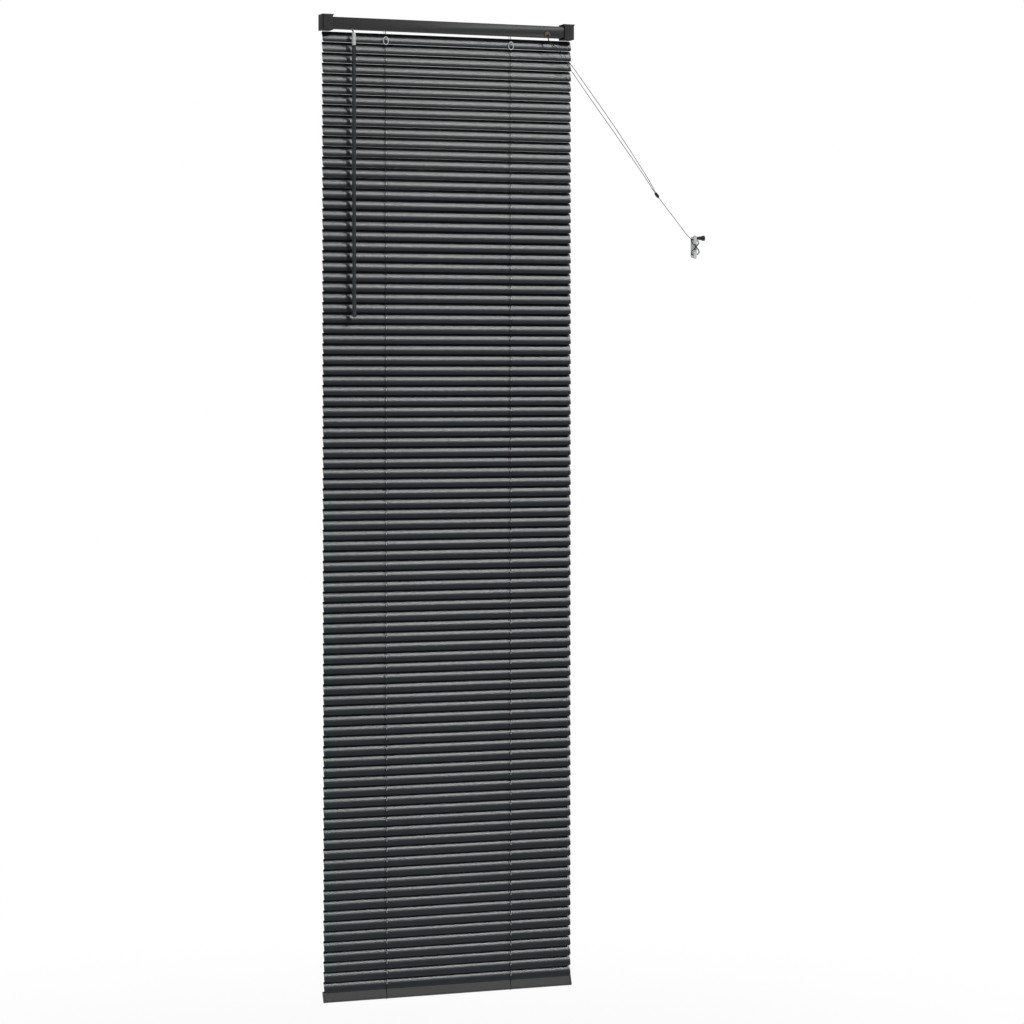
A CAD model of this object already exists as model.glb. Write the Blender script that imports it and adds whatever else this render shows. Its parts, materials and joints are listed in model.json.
"""Looks for a venetian blind: slats, ladders, cords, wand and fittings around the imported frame."""

import json
import random
from math import cos, pi, radians, sin, sqrt

import bmesh
import bpy
import numpy as np
from mathutils import Matrix, Vector


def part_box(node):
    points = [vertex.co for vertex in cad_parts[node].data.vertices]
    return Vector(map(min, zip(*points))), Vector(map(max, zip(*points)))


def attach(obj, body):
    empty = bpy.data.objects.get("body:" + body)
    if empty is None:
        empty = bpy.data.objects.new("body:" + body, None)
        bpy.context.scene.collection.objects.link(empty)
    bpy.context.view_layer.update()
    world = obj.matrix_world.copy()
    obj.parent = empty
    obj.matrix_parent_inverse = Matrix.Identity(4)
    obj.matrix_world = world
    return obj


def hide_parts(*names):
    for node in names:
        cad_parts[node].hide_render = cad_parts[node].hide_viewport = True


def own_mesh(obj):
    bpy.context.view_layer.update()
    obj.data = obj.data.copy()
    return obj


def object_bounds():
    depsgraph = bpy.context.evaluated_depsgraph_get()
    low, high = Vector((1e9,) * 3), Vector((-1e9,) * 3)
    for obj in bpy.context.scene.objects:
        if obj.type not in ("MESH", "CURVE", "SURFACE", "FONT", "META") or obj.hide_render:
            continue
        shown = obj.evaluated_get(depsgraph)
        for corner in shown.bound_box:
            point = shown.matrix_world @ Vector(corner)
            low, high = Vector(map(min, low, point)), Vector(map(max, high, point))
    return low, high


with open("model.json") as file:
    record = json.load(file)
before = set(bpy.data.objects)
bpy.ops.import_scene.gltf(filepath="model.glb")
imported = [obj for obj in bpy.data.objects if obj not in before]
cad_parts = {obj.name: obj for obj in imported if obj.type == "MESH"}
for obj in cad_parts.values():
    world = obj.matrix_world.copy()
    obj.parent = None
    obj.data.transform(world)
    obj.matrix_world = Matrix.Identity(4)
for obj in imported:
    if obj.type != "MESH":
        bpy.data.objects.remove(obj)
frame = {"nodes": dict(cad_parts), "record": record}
cad_low, cad_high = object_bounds()
nodes = frame["nodes"]
joints = {j["name"]: j for j in frame["record"]["behaviour"]["joints"]}
MM = 0.001

# Sizes that the CAD shares, in millimetres unless said.
SLAT_LENGTH = 594
SLAT_WIDTH = 25
SLAT_THICKNESS = 0.3
SLAT_CROWN = 1.8
SLAT_CORNER = 4
SLAT_TILT = 70
SLAT_COUNT = 93
TILTING = 30
BANK = 8
SLOT_LENGTH = 6
SLOT_WIDTH = 1.6
LADDER_X = 149.5
STRING_OFFSET = -0.7
CORD_OFFSET = 0.9
STRING_R = 0.5
CORD_R = 0.7
LOCK_X = 235
OUTLET_Z = -7.5
HEADRAIL_FRONT = -30
CORD_Z = -9.4
CLEAT_X = 611
CLEAT_Z = -482
CLEAT_TURNS = 2
WINDING_Y = -7.5
DRUM_R = 5.5
WAND_R = 4.5

pivots = [joints[f"slat_{i + 1:02d}_tilt"]["pos_m"] for i in range(TILTING)]
MID_Y = pivots[0][1] / MM
FIRST_Z = pivots[0][2] / MM
PITCH = (pivots[0][2] - pivots[1][2]) / MM
RAIL_Z = FIRST_Z - SLAT_COUNT * PITCH
ROD_Z = joints["tilt"]["pos_m"][2] / MM
SPLIT_Z = FIRST_Z - (TILTING - 0.5) * PITCH
STRING_FRONT = MID_Y - 4.4
STRING_BACK = MID_Y + 6.3


def slat_z(i):
    return FIRST_Z - i * PITCH


# ---- Camera ----

camera = bpy.data.objects.new("camera", bpy.data.cameras.new("camera"))
bpy.context.scene.collection.objects.link(camera)
camera.data.lens = 112.06
camera.data.sensor_width = 36
camera.data.shift_y = -0.03
camera.data.clip_end = 60
camera.location = (-2.4632, -6.7715, -0.799)
turn, dip = radians(21.18), radians(1.752)
heading = Vector((sin(turn) * cos(dip), cos(turn) * cos(dip), -sin(dip)))
camera.rotation_euler = heading.to_track_quat("-Z", "Y").to_euler()
bpy.context.scene.camera = camera


# ---- Materials ----


def shader(name, color, roughness, **sockets):
    """A principled material, with its even values set on the shader itself."""
    mat = bpy.data.materials.new(name)
    mat.use_nodes = True
    bsdf = mat.node_tree.nodes["Principled BSDF"]
    bsdf.inputs["Base Color"].default_value = (*color, 1)
    bsdf.inputs["Roughness"].default_value = roughness
    for key, value in sockets.items():
        bsdf.inputs[key.replace("_", " ")].default_value = value
    mat.diffuse_color = (*color, 1)
    return mat


def add(tree, kind, **values):
    node = tree.nodes.new(kind)
    for key, value in values.items():
        key = key.replace("_", " ")
        if key in node.inputs:
            node.inputs[key].default_value = value
        else:
            setattr(node, key.replace(" ", "_"), value)
    return node


def mottle(mat, scale, shade, polish, bump, stretch=(1, 1, 1), distance=0.0002):
    """Varies a material's colour and polish with a cloudy pattern, and gives it a fine grain."""
    tree = mat.node_tree
    link = tree.links.new
    bsdf = tree.nodes["Principled BSDF"]
    place = add(tree, "ShaderNodeTexCoord")
    sizing = add(tree, "ShaderNodeMapping", Scale=stretch)
    link(place.outputs["Object"], sizing.inputs["Vector"])
    cloud = add(tree, "ShaderNodeTexNoise", Scale=scale * 0.12, Detail=5.0, Roughness=0.6)
    grain = add(tree, "ShaderNodeTexNoise", Scale=scale, Detail=3.0, Roughness=0.55)
    for texture in (cloud, grain):
        link(sizing.outputs["Vector"], texture.inputs["Vector"])
    color = bsdf.inputs["Base Color"].default_value[:3]
    ramp = add(tree, "ShaderNodeValToRGB")
    ramp.color_ramp.elements[0].position = 0.3
    ramp.color_ramp.elements[1].position = 0.7
    ramp.color_ramp.elements[0].color = (*[c * (1 - shade) for c in color], 1)
    ramp.color_ramp.elements[1].color = (*[c * (1 + shade) for c in color], 1)
    link(cloud.outputs["Fac"], ramp.inputs["Fac"])
    link(ramp.outputs["Color"], bsdf.inputs["Base Color"])
    rough = bsdf.inputs["Roughness"].default_value
    spread = add(tree, "ShaderNodeMapRange", From_Min=0.3, From_Max=0.7,
                 To_Min=rough - polish, To_Max=rough + polish)
    link(cloud.outputs["Fac"], spread.inputs["Value"])
    link(spread.outputs["Result"], bsdf.inputs["Roughness"])
    relief = add(tree, "ShaderNodeBump", Strength=bump, Distance=distance)
    link(grain.outputs["Fac"], relief.inputs["Height"])
    link(relief.outputs["Normal"], bsdf.inputs["Normal"])
    return mat


def braid(mat, across, along, depth=0.6):
    """Gives a cord crossing strands. Its UV map runs round it in U and along it, in metres, in V."""
    tree = mat.node_tree
    link = tree.links.new
    bsdf = tree.nodes["Principled BSDF"]
    place = add(tree, "ShaderNodeTexCoord")
    waves = []
    for lean in (1, -1):
        turn = add(tree, "ShaderNodeMapping", Scale=(across, along, 1),
                   Rotation=(0, 0, lean * pi / 4))
        wave = add(tree, "ShaderNodeTexWave", Scale=1.0, Distortion=0.0)
        link(place.outputs["UV"], turn.inputs["Vector"])
        link(turn.outputs["Vector"], wave.inputs["Vector"])
        waves.append(wave)
    mix = add(tree, "ShaderNodeMath", operation="MAXIMUM")
    link(waves[0].outputs["Fac"], mix.inputs[0])
    link(waves[1].outputs["Fac"], mix.inputs[1])
    ramp = add(tree, "ShaderNodeValToRGB")
    color = bsdf.inputs["Base Color"].default_value[:3]
    ramp.color_ramp.elements[0].color = (*[c * 0.45 for c in color], 1)
    ramp.color_ramp.elements[1].color = (*[c * 1.5 for c in color], 1)
    link(mix.outputs["Value"], ramp.inputs["Fac"])
    link(ramp.outputs["Color"], bsdf.inputs["Base Color"])
    relief = add(tree, "ShaderNodeBump", Strength=depth, Distance=0.00015)
    link(mix.outputs["Value"], relief.inputs["Height"])
    link(relief.outputs["Normal"], bsdf.inputs["Normal"])
    return mat


looks = {
    "slat": mottle(shader("slat_enamel", (0.014, 0.018, 0.022), 0.24), 900, 0.10, 0.005, 0.005,
                   stretch=(0.35, 1, 1)),
    "body": mottle(shader("rail_enamel", (0.040, 0.041, 0.042), 0.44), 1400, 0.12, 0.04, 0.25),
    "foot": mottle(shader("foot_enamel", (0.024, 0.025, 0.026), 0.46), 1400, 0.12, 0.04, 0.25),
    "cap": mottle(shader("moulded_cap", (0.030, 0.031, 0.033), 0.50), 1800, 0.10, 0.05, 0.35),
    "steel": mottle(shader("zinc_steel", (0.55, 0.56, 0.58), 0.30, Metallic=1.0), 1600, 0.10, 0.06,
                    0.3, stretch=(0.1, 1, 1)),
    "nylon": mottle(shader("white_nylon", (0.74, 0.73, 0.68), 0.48, Subsurface_Weight=0.1,
                           Subsurface_Scale=0.002), 900, 0.04, 0.04, 0.2),
    "clear": mottle(shader("clear_plastic", (0.93, 0.95, 0.96), 0.07, Transmission_Weight=0.94,
                           IOR=1.49), 500, 0.02, 0.02, 0.08),
    "smoke": mottle(shader("smoky_plastic", (0.050, 0.060, 0.066), 0.30, Transmission_Weight=0.2,
                           IOR=1.49), 500, 0.06, 0.03, 0.08, stretch=(1, 1, 0.1)),
    "milk": mottle(shader("milky_plastic", (0.88, 0.90, 0.90), 0.22, Transmission_Weight=0.12,
                          IOR=1.49), 500, 0.04, 0.03, 0.08),
    "brass": mottle(shader("turned_brass", (0.34, 0.32, 0.14), 0.28, Metallic=1.0), 1500, 0.14,
                    0.06, 0.25),
    "cord": braid(shader("braided_cord", (0.009, 0.009, 0.010), 0.75, Sheen_Weight=0.1,
                         Sheen_Roughness=0.4), 6, 900),
    "string": braid(shader("ladder_string", (0.008, 0.009, 0.010), 0.8, Sheen_Weight=0.05,
                           Sheen_Roughness=0.4), 4, 1400),
    "bead": mottle(shader("black_plastic", (0.008, 0.008, 0.009), 0.34), 1200, 0.12, 0.05, 0.25),
}

own_look = {"cleat": "milk", "wand_coupler": "milk", "bottom_rail": "foot", "rail_caps": "foot"}
slot_of = {s["node"]: s["material_slot"] for s in frame["record"]["subparts"]}
for name, obj in nodes.items():
    for slot in obj.material_slots:
        slot.material = looks[own_look.get(name, slot_of[name])]


# ---- Mesh and route helpers, in millimetres ----


def smooth_route(points, steps=4):
    """A Catmull-Rom line through the points, with steps pieces between each pair."""
    p = np.array([points[0], *points, points[-1]], float)
    out = []
    for i in range(1, len(p) - 2):
        for s in range(steps):
            t = s / steps
            out.append(0.5 * (2 * p[i] + (p[i + 1] - p[i - 1]) * t
                              + (2 * p[i - 1] - 5 * p[i] + 4 * p[i + 1] - p[i + 2]) * t * t
                              + (3 * p[i] - p[i - 1] - 3 * p[i + 1] + p[i + 2]) * t ** 3))
    out.append(p[-2])
    return np.array(out)


def make(name, verts, faces, look, uvs=None, body=None, smooth=True):
    """A mesh object from points in millimetres. uvs has one pair for each face corner."""
    mesh = bpy.data.meshes.new(name)
    mesh.from_pydata([tuple(v * MM for v in p) for p in verts], [], faces)
    if uvs is not None:
        layer = mesh.uv_layers.new(name="UVMap")
        layer.data.foreach_set("uv", np.array(uvs, float).ravel())
    mesh.materials.append(looks[look])
    mesh.polygons.foreach_set("use_smooth", [smooth] * len(mesh.polygons))
    obj = bpy.data.objects.new(name, mesh)
    bpy.context.scene.collection.objects.link(obj)
    if body:
        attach(obj, body)
    return obj


def tube(points, radius, sides=8, closed=False):
    """Points, faces and UVs of a round tube along a route."""
    p = np.array(points, float)
    n = len(p)
    ahead = np.roll(p, -1, 0) - np.roll(p, 1, 0)
    if not closed:
        ahead[0], ahead[-1] = p[1] - p[0], p[-1] - p[-2]
    ahead /= np.linalg.norm(ahead, axis=1)[:, None]
    side = np.cross(ahead[0], (0, 0, 1) if abs(ahead[0][2]) < 0.9 else (1, 0, 0))
    run = np.concatenate([[0], np.cumsum(np.linalg.norm(np.diff(p, axis=0), axis=1))]) * MM
    verts, faces, uvs = [], [], []
    for i in range(n):
        side = side - ahead[i] * side.dot(ahead[i])
        side /= np.linalg.norm(side)
        up = np.cross(ahead[i], side)
        for j in range(sides):
            a = 2 * pi * j / sides
            verts.append(p[i] + radius * (cos(a) * side + sin(a) * up))
    for i in range(n if closed else n - 1):
        k = (i + 1) % n
        v0, v1 = run[i], run[i + 1] if i + 1 < n else run[i] + run[1]
        for j in range(sides):
            m = (j + 1) % sides
            faces.append((i * sides + j, i * sides + m, k * sides + m, k * sides + j))
            u0, u1 = j / sides, (j + 1) / sides
            uvs += [(u0, v0), (u1, v0), (u1, v1), (u0, v1)]
    if not closed:
        for ring in (range(sides - 1, -1, -1), range((n - 1) * sides, n * sides)):
            faces.append(tuple(ring))
            uvs += [(0, 0)] * sides
    return verts, faces, uvs


def tubes(name, routes, radius, look, body=None, sides=8):
    """Several tubes in one object."""
    verts, faces, uvs = [], [], []
    for route in routes:
        v, f, u = tube(route, radius, sides)
        faces += [tuple(len(verts) + i for i in face) for face in f]
        verts += v
        uvs += u
    return make(name, verts, faces, look, uvs, body)


def dense(points, step=12):
    """The same route with points at most step millimetres apart."""
    out = [np.array(points[0], float)]
    for a, b in zip(points, points[1:]):
        a, b = np.array(a, float), np.array(b, float)
        count = max(1, int(np.ceil(np.linalg.norm(b - a) / step)))
        out += [a + (b - a) * k / count for k in range(1, count + 1)]
    return out


# ---- Pull cords, joined into one cord that is wound on the cleat ----

JOINER_TOP = np.array([502.4, -30.9, -359.7])
JOINER_END = np.array([511, -30.7, -370.6])


def pull_route(s):
    x, y, z = LOCK_X, HEADRAIL_FRONT, OUTLET_Z
    return [
        (x + 0.9 * s, y - 0.6, z),
        (x + 0.9 * s, y - 3.9, z - 0.7),
        (x + 0.9 * s, y - 5, z - 3.2),
        (x + 0.9 * s, y - 5.8, z - 8),
        (x + 0.4 + 0.9 * s, y - 6.2, z - 12.5),
        (x + 3 + 1.1 * s, y - 6.4, z - 16.5 + 0.4 * s),
        (x + 13 + 1.8 * s, y - 6.4, z - 26.5 + s),
        (x + 35.3 + 2.8 * s, y - 6.4, z - 47 + 2 * s),
        (x + 89.4 + 3.6 * s, y - 5.8, z - 116 + 2.8 * s),
        (x + 164.9 + 3.4 * s, y - 4.4, z - 212 + 2.6 * s),
        (x + 240.4 + 1.8 * s, y - 2.2, z - 312 + 1.4 * s),
        tuple(JOINER_TOP + (0.75 * s, 0, 0.6 * s)),
    ]


def winding(t):
    """A point of the figure of eight on the cleat, t degrees after its start."""
    width = 8 + 1.6 * t / 360
    height = 16.5 + 1.6 * t / 360
    front = -17 - 1.5 * (t / 180 - 0.5)
    a = radians(t)
    return (CLEAT_X + width * sin(2 * a), WINDING_Y + (front - WINDING_Y) * sin(a) ** 2,
            CLEAT_Z + height * cos(a))


TASSEL = np.array([CLEAT_X + 6, -10, CLEAT_Z + 16.5 + 1.6 * CLEAT_TURNS + 1.3])


def cleat_route():
    start, end = np.array(winding(0)), np.array(winding(360 * CLEAT_TURNS))
    return [
        tuple(JOINER_END), (552, -24, -415), (588, -14.5, -452), (601, -10, -462.4),
        tuple(start - (3.5, 0, 0)),
        *[winding(t) for t in range(0, 360 * CLEAT_TURNS + 1, 15)],
        tuple(end + (3, -1, 0.6)), tuple(TASSEL),
    ]


def free_cord(name, route):
    """A curve of one open spline along a route in millimetres."""
    curve = bpy.data.curves.new(name, "CURVE")
    curve.dimensions = "3D"
    curve.bevel_depth = CORD_R * MM
    curve.bevel_resolution = 3
    curve.use_fill_caps = True
    spline = curve.splines.new("POLY")
    spline.points.add(len(route) - 1)
    for point, place in zip(spline.points, route):
        point.co = (*[v * MM for v in place], 1)
    curve.materials.append(looks["cord"])
    obj = bpy.data.objects.new(name, curve)
    bpy.context.scene.collection.objects.link(obj)
    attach(obj, "headrail")
    return obj


for s, name in ((-1, "pull_cord_left"), (1, "pull_cord_right")):
    route = smooth_route(pull_route(s), 2)
    cord = free_cord(name, route)
    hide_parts("pull_cords")

route = smooth_route(cleat_route(), 1)
cleat_cord = free_cord("cord_on_cleat", route)
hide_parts("cleat_cord")


# ---- Slats ----


def slat_mesh():
    """A level slat with its pivot at the origin: crowned, with round corners and two cord slots."""
    half_l, half_w = SLAT_LENGTH / 2, SLAT_WIDTH / 2
    radius = (half_w ** 2 + SLAT_CROWN ** 2) / (2 * SLAT_CROWN)
    corner = [SLAT_CORNER * (1 - cos(radians(a))) for a in range(0, 91, 15)]
    slot_l, slot_r = (side * LADDER_X + CORD_OFFSET for side in (-1, 1))
    columns = [-half_l + d for d in corner] + [
        slot_l - SLOT_WIDTH / 2, slot_l + SLOT_WIDTH / 2, -60, 0, 60,
        slot_r - SLOT_WIDTH / 2, slot_r + SLOT_WIDTH / 2] + [half_l - d for d in reversed(corner)]
    side = [half_w, half_w - 0.5, 11, 9.4, 7.5, 5, SLOT_LENGTH / 2, 1.5]
    rows = [-v for v in side] + [0] + side[::-1]
    bm = bmesh.new()
    grid = []
    for x in columns:
        inset = max(0, SLAT_CORNER - (half_l - abs(x)))
        reach = half_w - SLAT_CORNER + sqrt(SLAT_CORNER ** 2 - inset ** 2)
        line = []
        for v in rows:
            y = v * reach / half_w
            z = SLAT_CROWN / 2 - radius + sqrt(radius ** 2 - y ** 2)
            line.append(bm.verts.new((x * MM, y * MM, z * MM)))
        grid.append(line)
    for i in range(len(columns) - 1):
        middle = (columns[i] + columns[i + 1]) / 2
        slot = min(abs(middle - slot_l), abs(middle - slot_r)) < SLOT_WIDTH / 2
        for j in range(len(rows) - 1):
            if slot and abs(rows[j] + rows[j + 1]) / 2 < SLOT_LENGTH / 2:
                continue
            bm.faces.new((grid[i][j], grid[i + 1][j], grid[i + 1][j + 1], grid[i][j + 1]))
    mesh = bpy.data.meshes.new("slat_sheet")
    bm.to_mesh(mesh)
    bm.free()
    maker = bpy.data.objects.new("slat_sheet", mesh)
    bpy.context.scene.collection.objects.link(maker)
    thick = maker.modifiers.new("thickness", "SOLIDIFY")
    thick.thickness = SLAT_THICKNESS * MM
    thick.offset = -1
    solid = bpy.data.meshes.new_from_object(
        maker.evaluated_get(bpy.context.evaluated_depsgraph_get()))
    bpy.data.objects.remove(maker)
    bpy.data.meshes.remove(mesh)
    solid.name = "slat"
    solid.materials.append(looks["slat"])
    solid.polygons.foreach_set("use_smooth", [True] * len(solid.polygons))
    solid.set_sharp_from_angle(angle=radians(50))
    return solid


def slat_place(i, chance):
    """Where slat i hangs. Real slats sit a little unevenly in their ladders."""
    tilt = SLAT_TILT + chance.uniform(-0.15, 0.15)
    return Matrix.Translation((0, MID_Y * MM, slat_z(i) * MM)) @ Matrix.Rotation(radians(tilt), 4, "X")


RUNG_FRONT = (STRING_FRONT - MID_Y, -17.8)
RUNG_BACK = (STRING_BACK - MID_Y, 11.6)


def rungs(i):
    """The two rungs under slat i, as routes."""
    return [[(side * LADDER_X + STRING_OFFSET, MID_Y + y, slat_z(i) + z)
             for y, z in (RUNG_FRONT, (1.95, -0.3), RUNG_BACK)] for side in (-1, 1)]


chance = random.Random(7)
template = slat_mesh()
for i in range(TILTING):
    body = f"slat_{i + 1:02d}"
    slat = bpy.data.objects.new(f"slat_sheet_{i + 1:02d}", template)
    bpy.context.scene.collection.objects.link(slat)
    slat.matrix_world = slat_place(i, chance)
    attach(slat, body)
    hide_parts(body)
    tubes(f"rungs_{i + 1:02d}", rungs(i), 0.35, "string", body, sides=6)

# The lower slats, in banks of eight.
lower_banks = []
for first in range(TILTING, SLAT_COUNT, BANK):
    bm = bmesh.new()
    for i in range(first, min(first + BANK, SLAT_COUNT)):
        piece = template.copy()
        piece.transform(slat_place(i, chance))
        bm.from_mesh(piece)
        bpy.data.meshes.remove(piece)
    stack = bpy.data.meshes.new(f"lower_slat_sheets_{len(lower_banks) + 1}")
    bm.to_mesh(stack)
    bm.free()
    stack.materials.append(looks["slat"])
    bank = bpy.data.objects.new(stack.name, stack)
    bpy.context.scene.collection.objects.link(bank)
    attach(bank, "headrail")
    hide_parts("lower_slats")
    lower_banks.append(bank)


# ---- Ladders and lift cords ----


def gather(obj):
    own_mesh(obj)


front_foot = (MID_Y - 5.3, RAIL_Z + 1.9)
back_foot = (STRING_BACK, RAIL_Z + 11.4)
last_z = slat_z(SLAT_COUNT - 1)
ladder_xs = [side * LADDER_X + STRING_OFFSET for side in (-1, 1)]

upper = []
for x in ladder_xs:
    upper += [
        dense([(x, MID_Y - DRUM_R - STRING_R, ROD_Z), (x, STRING_FRONT, FIRST_Z + 8),
               (x, STRING_FRONT, SPLIT_Z)]),
        dense([(x, MID_Y + DRUM_R + STRING_R, ROD_Z), (x, STRING_BACK, FIRST_Z + 8),
               (x, STRING_BACK, SPLIT_Z)]),
    ]
strings_upper = tubes("ladder_strings_upper", upper, STRING_R, "string", "headrail", sides=6)
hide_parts("ladders")

strings_front = tubes("ladder_strings_front", [
    dense([(x, STRING_FRONT, SPLIT_Z), (x, STRING_FRONT, last_z - 16), (x, *front_foot)])
    for x in ladder_xs], STRING_R, "string", "headrail", sides=6)
gather(strings_front)

strings_back = tubes("ladder_strings_back", [
    dense([(x, STRING_BACK, SPLIT_Z), (x, *back_foot)]) for x in ladder_xs],
    STRING_R, "string", "headrail", sides=6)
gather(strings_back)

lower_rungs = tubes("ladder_rungs_lower",
                    [r for i in range(TILTING, SLAT_COUNT) for r in rungs(i)],
                    0.35, "string", "headrail", sides=6)
for bank in lower_banks:
    gather(bank)
gather(lower_rungs)


def lift_route(side):
    """A lift cord's way along the headrail, from below its slot to the outlet."""
    front = HEADRAIL_FRONT - 0.6
    x = side * LADDER_X + CORD_OFFSET
    start = [(x, MID_Y, SPLIT_Z), (x, MID_Y, -14)]
    if side < 0:
        return start + [
            (x + 0.5, MID_Y + 0.3, -11.2), (x + 2.5, MID_Y + 1.2, CORD_Z - 0.1),
            (x + 7, MID_Y + 3, CORD_Z), (LOCK_X - 10, MID_Y + 3, CORD_Z),
            (LOCK_X - 3, MID_Y + 0.5, CORD_Z + 0.2), (LOCK_X + 0.3, MID_Y - 4, CORD_Z + 0.5),
            (LOCK_X + 0.9, MID_Y - 8, OUTLET_Z), (LOCK_X + 0.9, front, OUTLET_Z)]
    return start + [
        (x + 0.5, MID_Y - 0.1, -11.2), (x + 2.5, MID_Y - 0.5, CORD_Z - 0.1),
        (x + 7, MID_Y - 1.1, CORD_Z), (LOCK_X - 13, MID_Y - 1.1, CORD_Z),
        (LOCK_X - 5, MID_Y - 3, CORD_Z + 0.2), (LOCK_X - 1.6, MID_Y - 6.5, CORD_Z + 0.5),
        (LOCK_X - 0.9, MID_Y - 10, OUTLET_Z), (LOCK_X - 0.9, front, OUTLET_Z)]


lift_upper = tubes("lift_cords_upper", [dense(lift_route(side)) for side in (-1, 1)],
                   CORD_R, "cord", "headrail")
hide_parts("lift_cords")
lift_lower = tubes("lift_cords_lower", [
    dense([(side * LADDER_X + CORD_OFFSET, MID_Y, z) for z in (SPLIT_Z, RAIL_Z)])
    for side in (-1, 1)], CORD_R, "cord", "headrail")
gather(lift_lower)


# Where the ladders pass round the bottom rail to its buttons.
def on_rail(across, out):
    a = radians(SLAT_TILT)
    return MID_Y + across * cos(a) - out * sin(a), RAIL_Z + across * sin(a) + out * cos(a)


def rail_wrap(x, outline):
    return smooth_route([(x, *on_rail(*p)) for p in outline], 4)


gap = 5 + STRING_R
wraps = []
for x in ladder_xs:
    wraps.append(rail_wrap(x, [(0, gap), (-5, gap), (-9.6, gap), (-12.0, 4.4), (-13, 1.9), (-13, -1.9),
                               (-12.0, -4.4), (-9.6, -gap), (-6.5, -gap), (-4.4, -gap)]))
    wraps.append(rail_wrap(x, [(12.9, -2.0), (12.1, -4.4), (9.6, -gap), (6.5, -gap), (4.4, -gap)]))
tubes("ladder_wraps", wraps, STRING_R, "string", "bottom_rail", sides=6)


# A milky loop clips each ladder to the first slat.
def loop(x, z, wide, tall, y):
    ring = [(x + wide * cos(a) / 2, y - 0.9 * sin(a) ** 2, z + tall * sin(a) / 2)
            for a in np.linspace(0, 2 * pi, 33)[:-1]]
    return tube(ring, 1.0, 8, closed=True)


for side in (-1, 1):
    v, f, u = loop(side * LADDER_X + STRING_OFFSET, FIRST_Z - 5, 12, 17, STRING_FRONT - 2.2)
    make("ladder_loop_left" if side < 0 else "ladder_loop_right", v, f, "milk", u, "slat_01")


# ---- Wand ----


def rounded_hex(r, corner=0.7):
    """Outline of a hexagon with soft corners, r to the corners before they are rounded."""
    out = []
    for k in range(6):
        a = k * pi / 3
        tip = np.array((cos(a), sin(a))) * (r - corner * 2 / sqrt(3))
        out += [tip + corner * np.array((cos(a + b), sin(a + b)))
                for b in np.radians((-30, -15, 0, 15, 30))]
    return out


def loft(name, centre, rings, look, body):
    """A closed skin over rings of (z, outline), from the top down."""
    verts, faces, uvs = [], [], []
    n = len(rings[0][1])
    for z, outline in rings:
        verts += [(centre[0] + p[0], centre[1] + p[1], z) for p in outline]
    for i in range(len(rings) - 1):
        for j in range(n):
            m = (j + 1) % n
            faces.append((i * n + j, (i + 1) * n + j, (i + 1) * n + m, i * n + m))
    faces += [tuple(range(n)), tuple(range(len(rings) * n - 1, (len(rings) - 1) * n - 1, -1))]
    obj = make(name, verts, faces, look, None, body)
    obj.data.set_sharp_from_angle(angle=radians(25))
    return obj


def round_outline(r, count=30):
    return [(r * cos(2 * pi * k / count), r * sin(2 * pi * k / count)) for k in range(count)]


wand_low, wand_high = (Vector(v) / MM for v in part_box("wand"))
tip_low, tip_high = (Vector(v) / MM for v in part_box("wand_tip"))
wand_at = ((wand_low.x + wand_high.x) / 2, (wand_low.y + wand_high.y) / 2)
shoulder = -49.6
wand = loft("wand_rod", wand_at, [
    (-32.1, round_outline(2.7)), (-32.5, round_outline(3.1)), (-33.5, round_outline(3.1)),
    (-33.9, round_outline(2.6)), (shoulder + 0.2, round_outline(2.6)), (shoulder, rounded_hex(3.6)),
    (shoulder - 0.9, rounded_hex(WAND_R)),
    *[(z, rounded_hex(WAND_R)) for z in np.linspace(shoulder - 20, wand_low.z + 1, 12)],
    (wand_low.z, rounded_hex(WAND_R)),
], "smoke", "wand")
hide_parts("wand")
tip = loft("wand_grip", wand_at, [
    (tip_high.z, round_outline(4.3)), (tip_high.z - 0.8, round_outline(4.8)),
    (tip_high.z - 2, round_outline(5.0)), (tip_low.z + 2.2, round_outline(5.0)),
    (tip_low.z + 0.9, round_outline(4.5)), (tip_low.z + 0.2, round_outline(3.5)),
    (tip_low.z, round_outline(2.4)),
], "smoke", "wand")
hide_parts("wand_tip")


# ---- CAD nodes with softened edges ----


def soften(name, body, width, angle=40):
    """A copy of a CAD node with small rounds on its sharp edges, which stands for the node."""
    mesh = nodes[name].data.copy()
    mesh.name = name + "_finished"
    bm = bmesh.new()
    bm.from_mesh(mesh)
    bmesh.ops.remove_doubles(bm, verts=bm.verts, dist=1e-6)
    bmesh.ops.dissolve_limit(bm, angle_limit=radians(0.5), verts=bm.verts, edges=bm.edges)
    bm.to_mesh(mesh)
    bm.free()
    mesh.polygons.foreach_set("use_smooth", [True] * len(mesh.polygons))
    obj = bpy.data.objects.new(name + "_finished", mesh)
    bpy.context.scene.collection.objects.link(obj)
    rounds = obj.modifiers.new("rounds", "BEVEL")
    rounds.width = width * MM
    rounds.segments = 2
    rounds.limit_method = "ANGLE"
    rounds.angle_limit = radians(angle)
    rounds.harden_normals = True
    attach(obj, body)
    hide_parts(name)
    return obj


for name, body, width in (
    ("headrail", "headrail", 0.3), ("headrail_caps", "headrail", 0.3),
    ("bracket_left", "headrail", 0.35), ("bracket_right", "headrail", 0.35),
    ("gate_left", "gate_left", 0.35), ("gate_right", "gate_right", 0.35),
    ("cleat", "headrail", 0.6), ("rail_caps", "bottom_rail", 0.4),
    ("tilter_housing", "headrail", 0.4), ("cord_lock", "headrail", 0.4),
    ("cradles", "headrail", 0.3),
):
    soften(name, body, width)


# ---- Light, world and floor ----


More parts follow.
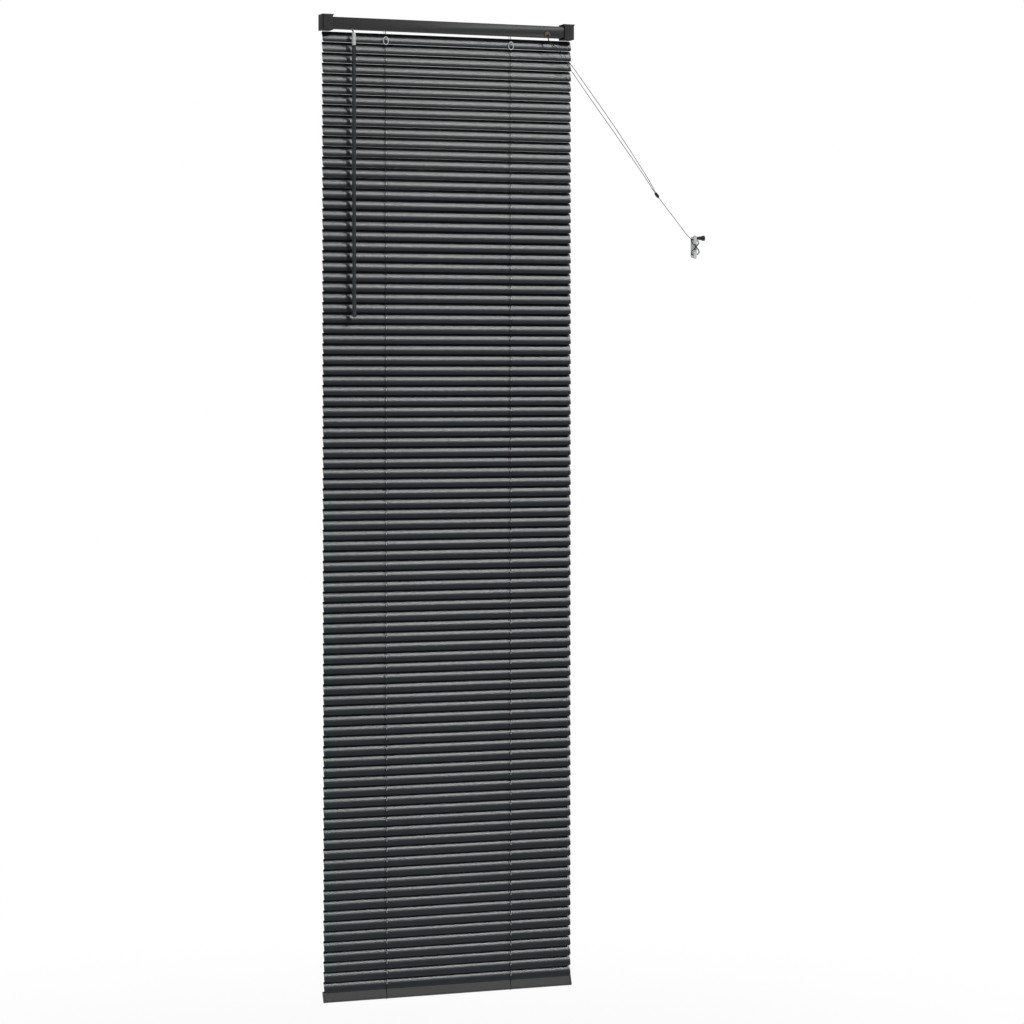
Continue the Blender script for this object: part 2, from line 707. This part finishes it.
def sun(name, azimuth, elevation, strength, spread):
    """A far light. Azimuth is to the right of straight ahead of the blind, as seen from the room."""
    light = bpy.data.lights.new(name, "SUN")
    light.energy = strength
    light.angle = radians(spread)
    obj = bpy.data.objects.new(name, light)
    bpy.context.scene.collection.objects.link(obj)
    a, e = radians(azimuth), radians(elevation)
    toward = Vector((-sin(a) * cos(e), cos(a) * cos(e), -sin(e)))
    obj.rotation_euler = toward.to_track_quat("-Z", "Y").to_euler()


# A tall soft light, high on the right. It is wide enough in height for each slat to mirror a part of
# it: the upper slats its top, the lower ones its bottom. Two weaker ones, ahead and on the left, do
# the same for other views.
for azimuth, elevation, strength in (
        (24.6, 35, 0.19), (26, 39.5, 0.12), (27.8, 44, 0.08),
        (0, 37, 0.08), (0, 42, 0.06), (-50, 35, 0.08), (-50, 41, 0.06)):
    sun(f"band_{azimuth:.0f}_{elevation}", azimuth, elevation, strength, 4)
sun("key", 42, 45, 0.8, 2.5)

world = bpy.data.worlds.new("studio")
bpy.context.scene.world = world
world.use_nodes = True
tree = world.node_tree
tree.nodes.clear()
shown = add(tree, "ShaderNodeBackground", Color=(1, 1, 1, 1), Strength=1.0)
lit = add(tree, "ShaderNodeBackground", Color=(1, 1, 1, 1), Strength=0.25)
seen = add(tree, "ShaderNodeLightPath")
either = add(tree, "ShaderNodeMixShader")
out = add(tree, "ShaderNodeOutputWorld")
tree.links.new(seen.outputs["Is Camera Ray"], either.inputs["Fac"])
tree.links.new(lit.outputs["Background"], either.inputs[1])
tree.links.new(shown.outputs["Background"], either.inputs[2])
tree.links.new(either.outputs["Shader"], out.inputs["Surface"])

floor_mesh = bpy.data.meshes.new("floor")
bm = bmesh.new()
bmesh.ops.create_circle(bm, cap_ends=True, segments=96, radius=3.2)
bm.to_mesh(floor_mesh)
bm.free()
floor = bpy.data.objects.new("floor", floor_mesh)
bpy.context.scene.collection.objects.link(floor)
floor.location = (0, 0, cad_low[2] - 0.25)
floor_look = bpy.data.materials.new("pale_floor")
floor_look.use_nodes = True
tree = floor_look.node_tree
bsdf = tree.nodes["Principled BSDF"]
bsdf.inputs["Base Color"].default_value = (0.92, 0.92, 0.91, 1)
bsdf.inputs["Roughness"].default_value = 0.8
glow = add(tree, "ShaderNodeEmission", Color=(1, 1, 1, 1), Strength=1.0)
place = add(tree, "ShaderNodeTexCoord")
reach = add(tree, "ShaderNodeVectorMath", operation="LENGTH")
fade = add(tree, "ShaderNodeMapRange", interpolation_type="SMOOTHSTEP", From_Min=0.3, From_Max=2.4,
           To_Min=0.9)
blend = add(tree, "ShaderNodeMixShader")
tree.links.new(place.outputs["Object"], reach.inputs[0])
tree.links.new(reach.outputs["Value"], fade.inputs["Value"])
tree.links.new(fade.outputs["Result"], blend.inputs["Fac"])
tree.links.new(bsdf.outputs["BSDF"], blend.inputs[1])
tree.links.new(glow.outputs["Emission"], blend.inputs[2])
tree.links.new(blend.outputs["Shader"], tree.nodes["Material Output"].inputs["Surface"])
floor_mesh.materials.append(floor_look)

bpy.context.scene.view_settings.view_transform = "Standard"
